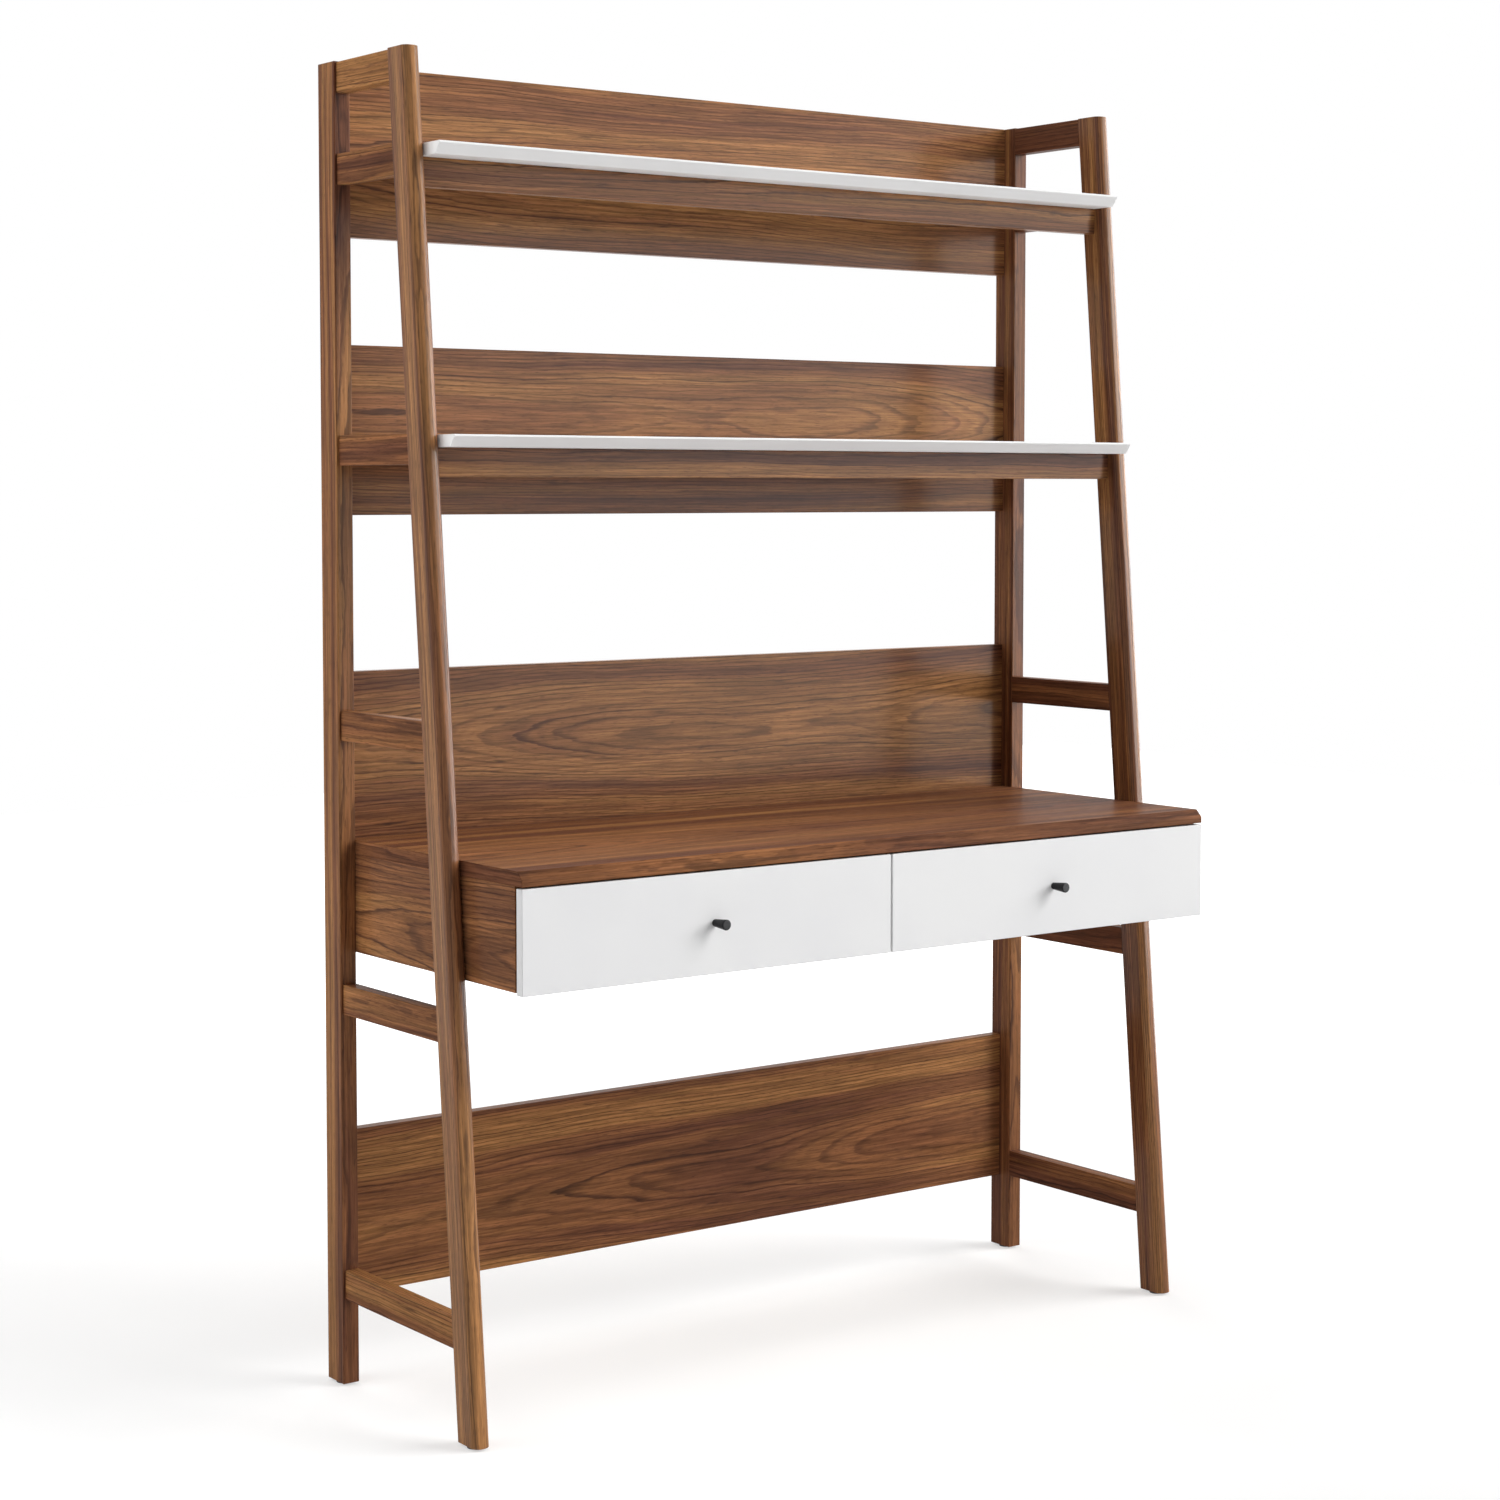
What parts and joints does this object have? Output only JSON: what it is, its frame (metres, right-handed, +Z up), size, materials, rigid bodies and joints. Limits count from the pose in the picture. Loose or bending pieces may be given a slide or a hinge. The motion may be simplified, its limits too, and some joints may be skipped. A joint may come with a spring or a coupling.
{
  "type": "ladder desk",
  "caption": "Ladder desk with leaning front legs, white shelves over a walnut desk top, back panels, and white drawers with black knobs that slide out under the top.",
  "frame": {"origin": "on the floor, at the middle of the desk's width and depth, knobs included", "axes": "+Z up, +X to the right seen from the front, +Y to the rear"},
  "size_m": [1.219, 0.482, 1.763],
  "materials": {
    "walnut": "satin walnut veneer and stained solid wood",
    "white_lacquer": "smooth satin white lacquer on board",
    "drawer_box_wood": "clear-lacquered pale plywood",
    "beech_dowel": "plain beech",
    "zinc_steel": "bright zinc-plated steel",
    "cast_zinc": "die-cast zinc",
    "black_metal": "satin black",
    "dark_plastic": "dark matt plastic"
  },
  "bodies": {
    "frame": {"cam_bolts": "zinc_steel", "cam_discs": "cast_zinc", "case_back": "drawer_box_wood", "case_bottom": "drawer_box_wood", "case_divider": "walnut", "case_runner_screws": "zinc_steel", "case_screws": "zinc_steel", "case_side_left": "walnut", "case_side_right": "walnut", "desk_back_panel": "walnut", "desk_rail_left": "walnut", "desk_rail_right": "walnut", "desk_top": "walnut", "foot_back_panel": "walnut", "foot_glides": "dark_plastic", "foot_rail_left": "walnut", "foot_rail_right": "walnut", "front_leg_left": "walnut", "front_leg_right": "walnut", "left_case_runners": "zinc_steel", "leg_bolts": "zinc_steel", "lower_back_panel": "walnut", "lower_shelf": "white_lacquer", "lower_shelf_apron": "walnut", "lower_shelf_rail_left": "walnut", "lower_shelf_rail_right": "walnut", "middle_rail_left": "walnut", "middle_rail_right": "walnut", "rear_leg_left": "walnut", "rear_leg_right": "walnut", "right_case_runners": "zinc_steel", "top_rail_left": "walnut", "top_rail_right": "walnut", "upper_back_panel": "walnut", "upper_shelf": "white_lacquer", "upper_shelf_apron": "walnut", "upper_shelf_rail_left": "walnut", "upper_shelf_rail_right": "walnut", "wood_dowels": "beech_dowel"},
    "left_drawer": {"left_drawer_back": "drawer_box_wood", "left_drawer_bottom": "drawer_box_wood", "left_drawer_front": "white_lacquer", "left_drawer_inner_side": "drawer_box_wood", "left_drawer_outer_side": "drawer_box_wood", "left_drawer_runner_screws": "zinc_steel", "left_drawer_runners": "zinc_steel", "left_knob": "black_metal", "left_knob_screw": "zinc_steel"},
    "right_drawer": {"right_drawer_back": "drawer_box_wood", "right_drawer_bottom": "drawer_box_wood", "right_drawer_front": "white_lacquer", "right_drawer_inner_side": "drawer_box_wood", "right_drawer_outer_side": "drawer_box_wood", "right_drawer_runner_screws": "zinc_steel", "right_drawer_runners": "zinc_steel", "right_knob": "black_metal", "right_knob_screw": "zinc_steel"},
    "left_ball_cages": {"left_ball_cages": "zinc_steel"},
    "right_ball_cages": {"right_ball_cages": "zinc_steel"}
  },
  "joints": [
    {"name": "left_drawer_slide", "type": "slide", "parent": "frame", "child": "left_drawer", "axis": [0, -1, 0], "range_m": [0, 0.28]},
    {"name": "left_ball_cage_slide", "type": "slide", "parent": "frame", "child": "left_ball_cages", "axis": [0, -1, 0], "range_m": [0, 0.14]},
    {"name": "right_drawer_slide", "type": "slide", "parent": "frame", "child": "right_drawer", "axis": [0, -1, 0], "range_m": [0, 0.28]},
    {"name": "right_ball_cage_slide", "type": "slide", "parent": "frame", "child": "right_ball_cages", "axis": [0, -1, 0], "range_m": [0, 0.14]}
  ],
  "couplings": [
    {"joint": "left_ball_cage_slide", "follows": "left_drawer_slide", "ratio": 0.5},
    {"joint": "right_ball_cage_slide", "follows": "right_drawer_slide", "ratio": 0.5}
  ]
}
